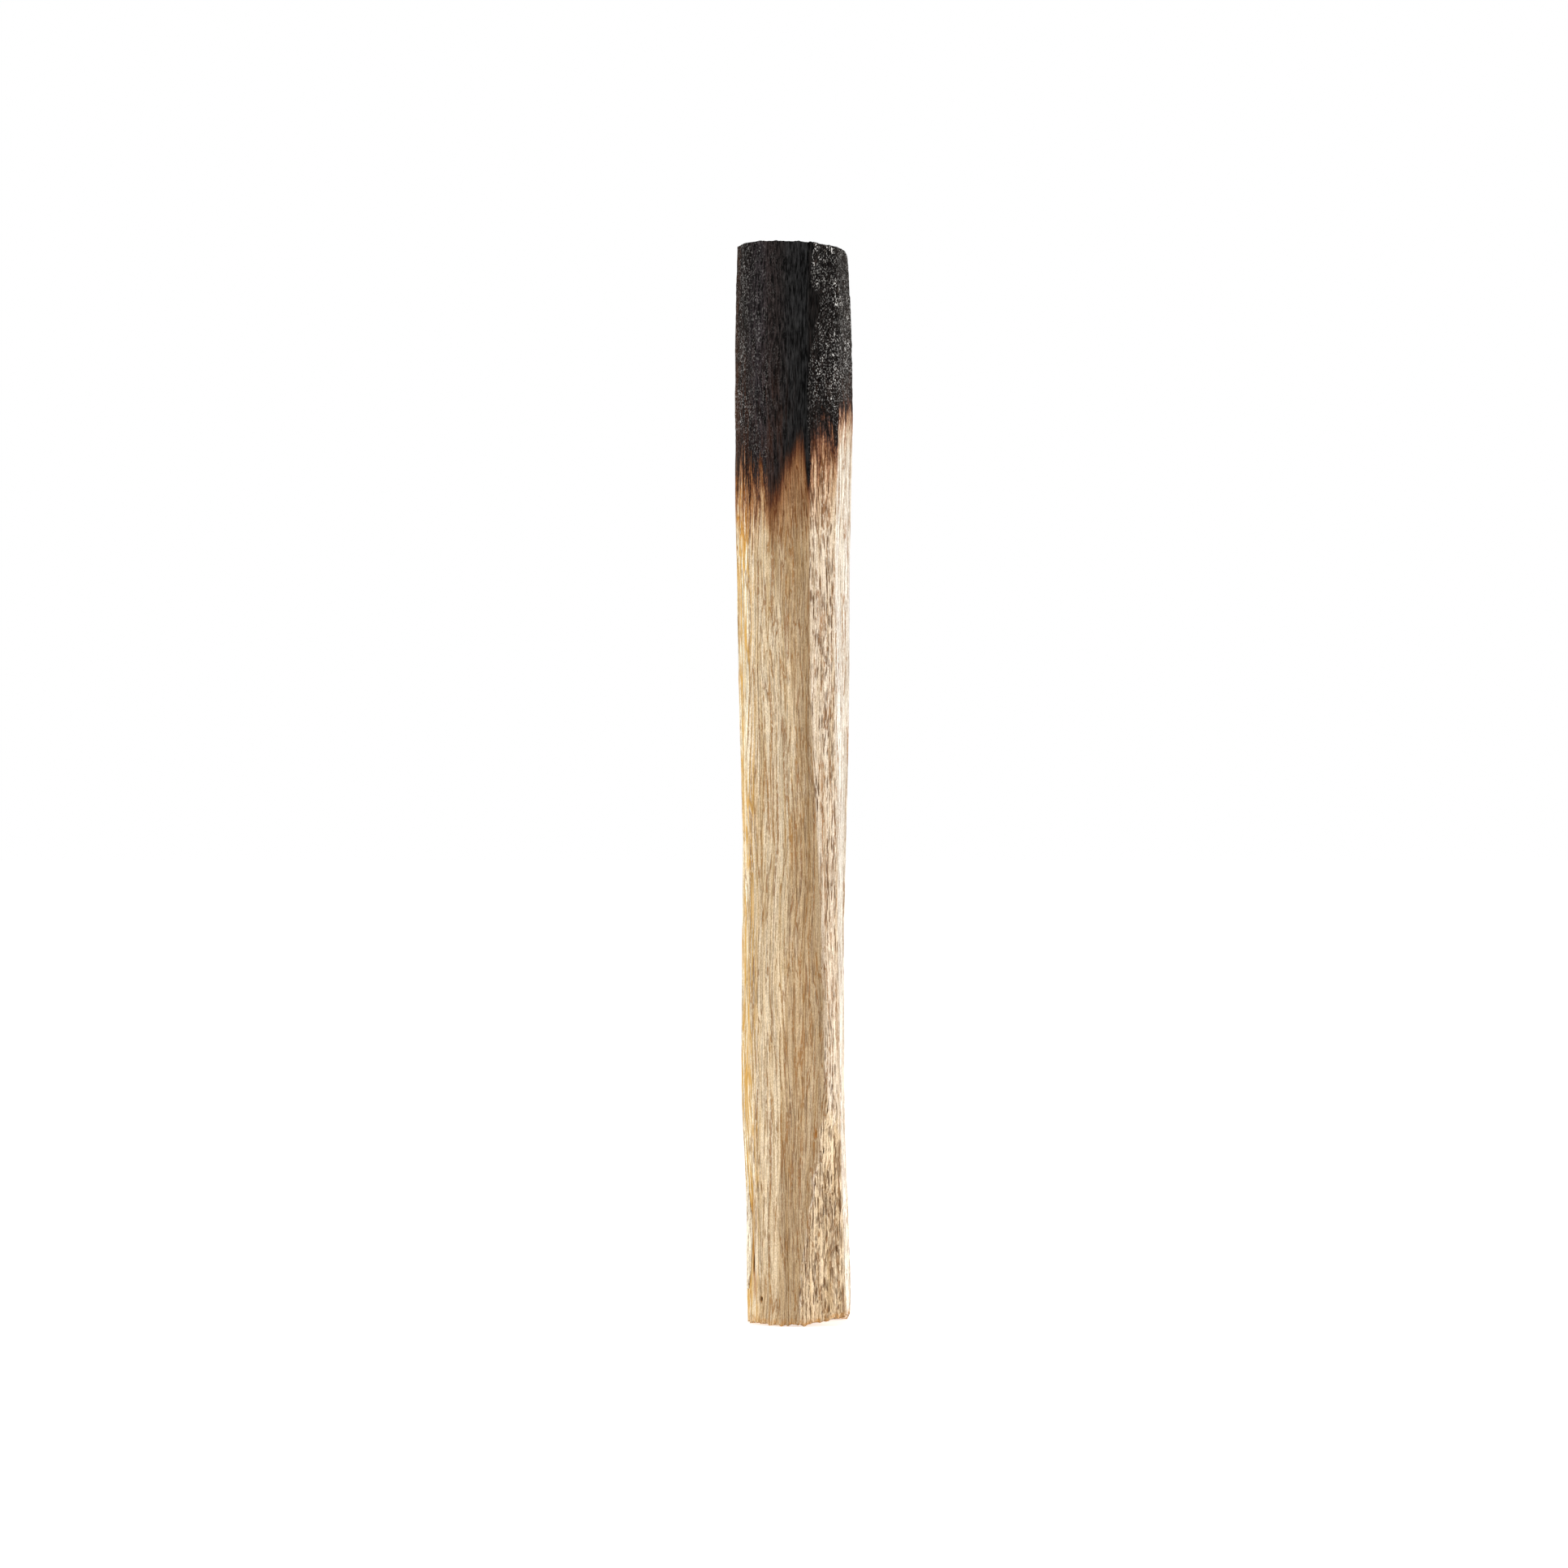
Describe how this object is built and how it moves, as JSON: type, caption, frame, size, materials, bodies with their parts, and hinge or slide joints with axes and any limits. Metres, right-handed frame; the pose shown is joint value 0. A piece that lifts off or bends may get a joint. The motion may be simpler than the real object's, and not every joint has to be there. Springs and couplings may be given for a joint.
{
  "type": "split wood stick with a burnt end",
  "caption": "Short riven stick of pale wood with facets, a lengthwise hollow, a torn lath at its square butt and one end burnt to charcoal.",
  "frame": {"origin": "middle of the square butt face", "axes": "+Z along the grain from the butt to the burnt end, +Y out of the flat riven back, -Y out of the broad front"},
  "size_m": [0.0109, 0.0094, 0.1],
  "materials": {
    "pale_wood": "raw riven pale hardwood, fine straight grain with amber resin lines, matt",
    "scorched_wood": "heat-browned wood, caramel to dark brown along the grain, matt",
    "charcoal": "wood charcoal, black, fine lengthwise streaks, slight blue-grey sheen",
    "char_crust": "checked and flaking charcoal crust with small glints",
    "torn_wood": "torn fibres of pale wood, rough and matt"
  },
  "bodies": {
    "root": {"sound_wood": "pale_wood", "scorched_wood": "scorched_wood", "charcoal_end": "charcoal", "char_flakes": "char_crust", "torn_lath": "torn_wood", "edge_sliver": "torn_wood", "lifted_splinters": "torn_wood"}
  },
  "joints": []
}
